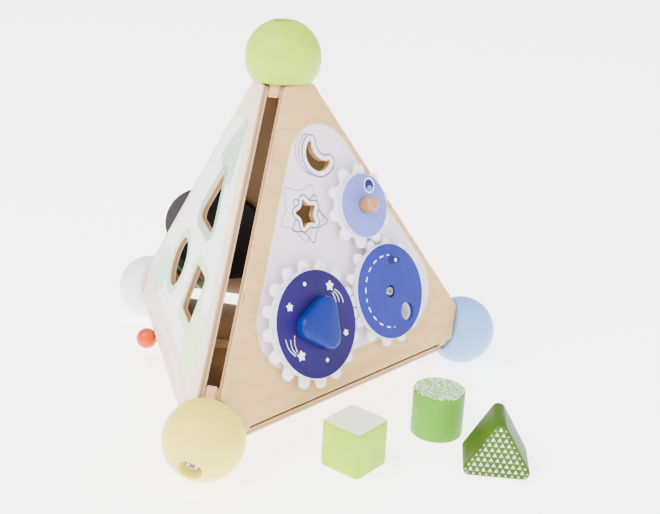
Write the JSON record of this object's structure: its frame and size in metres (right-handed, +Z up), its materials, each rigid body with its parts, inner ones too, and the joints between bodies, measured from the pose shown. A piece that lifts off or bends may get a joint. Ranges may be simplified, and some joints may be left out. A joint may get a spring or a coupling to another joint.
{
  "type": "activity pyramid toy",
  "caption": "Wooden activity pyramid on corner balls with a meshed gear train, a shape sorter, a hidden spinner, a swinging knob and loose sorting blocks.",
  "frame": {"origin": "centre of the base panel's underside", "axes": "+Z up, the cream front ball towards -Y, the gear panel facing +X and -Y, the sorter panel facing -X and -Y"},
  "size_m": [0.3389, 0.2664, 0.2529],
  "materials": {
    "birch_lavender_print": "satin lacquer over birch ply with a pale lavender print",
    "birch_pale_print": "satin lacquer over birch ply with a pale print",
    "birch": "satin lacquered birch ply",
    "lime_paint": "gloss paint",
    "cream_paint": "gloss paint",
    "blue_paint": "gloss paint",
    "white_paint": "gloss paint",
    "raw_birch": "sanded",
    "steel": "zinc plated",
    "white_plastic": "satin",
    "indigo_paint": "satin paint",
    "royal_paint": "satin paint",
    "pale_blue_paint": "satin paint",
    "cobalt_paint": "gloss paint",
    "handle_beech": "satin lacquer",
    "charcoal_paint": "satin paint",
    "orange_paint": "gloss paint",
    "pale_lime_paint": "satin paint",
    "green_paint": "satin paint",
    "deep_green_paint": "satin paint"
  },
  "bodies": {
    "pyramid": {"arm_screw": "steel", "back_panel": "birch", "ball_front": "cream_paint", "ball_left": "white_paint", "ball_right": "blue_paint", "ball_screw_front": "steel", "ball_screw_left": "steel", "ball_screw_right": "steel", "ball_screw_top": "steel", "ball_top": "lime_paint", "base_panel": "birch", "corner_block_front": "raw_birch", "corner_block_left": "raw_birch", "corner_block_right": "raw_birch", "corner_block_top": "raw_birch", "gear_panel": "birch_lavender_print", "large_axle_bolt": "steel", "large_axle_nut": "steel", "middle_axle_bolt": "steel", "middle_axle_nut": "steel", "small_axle_bolt": "steel", "small_axle_nut": "steel", "sorter_panel": "birch_pale_print", "spinner_bolt": "steel", "spinner_nut": "steel"},
    "large_gear": {"large_gear": "white_plastic", "large_disc": "indigo_paint", "triangle_knob": "cobalt_paint"},
    "middle_gear": {"middle_gear": "white_plastic", "middle_disc": "royal_paint"},
    "small_gear": {"small_gear": "white_plastic", "small_disc": "pale_blue_paint", "peg_handle": "handle_beech"},
    "spinner": {"spinner_disc": "charcoal_paint"},
    "swing_arm": {"swing_arm": "handle_beech", "swing_knob": "orange_paint"},
    "cube": {"cube_block": "pale_lime_paint"},
    "cylinder": {"cylinder_block": "green_paint"},
    "prism": {"prism_block": "deep_green_paint"}
  },
  "joints": [
    {"name": "large_gear_turn", "type": "hinge", "parent": "pyramid", "child": "large_gear", "pos_m": [0.04249, -0.06622, 0.05838], "axis": [0.8165, -0.4714, 0.3333], "continuous": true},
    {"name": "middle_gear_turn", "type": "hinge", "parent": "pyramid", "child": "middle_gear", "pos_m": [0.07752, -0.00296, 0.06206], "axis": [0.8165, -0.4714, 0.3333], "continuous": true},
    {"name": "small_gear_turn", "type": "hinge", "parent": "pyramid", "child": "small_gear", "pos_m": [0.05552, -0.00053, 0.11938], "axis": [0.8165, -0.4714, 0.3333], "continuous": true},
    {"name": "spinner_turn", "type": "hinge", "parent": "pyramid", "child": "spinner", "pos_m": [-0.0625, 0.0553, 0.06732], "axis": [0, 0.9428, 0.3333], "continuous": true},
    {"name": "swing_arm_turn", "type": "hinge", "parent": "pyramid", "child": "swing_arm", "pos_m": [0, 0, 0.0063], "axis": [0, 0, 1], "range_deg": [0, 41.9]},
    {"name": "cube_lift", "type": "slide", "parent": "pyramid", "child": "cube", "axis": [0, 0, 1], "range_m": [0, 0.15]},
    {"name": "cylinder_lift", "type": "slide", "parent": "pyramid", "child": "cylinder", "axis": [0, 0, 1], "range_m": [0, 0.15]},
    {"name": "prism_lift", "type": "slide", "parent": "pyramid", "child": "prism", "axis": [0, 0, 1], "range_m": [0, 0.15]}
  ],
  "couplings": [
    {"joint": "middle_gear_turn", "follows": "large_gear_turn", "ratio": -1.1429},
    {"joint": "small_gear_turn", "follows": "large_gear_turn", "ratio": 1.6}
  ]
}
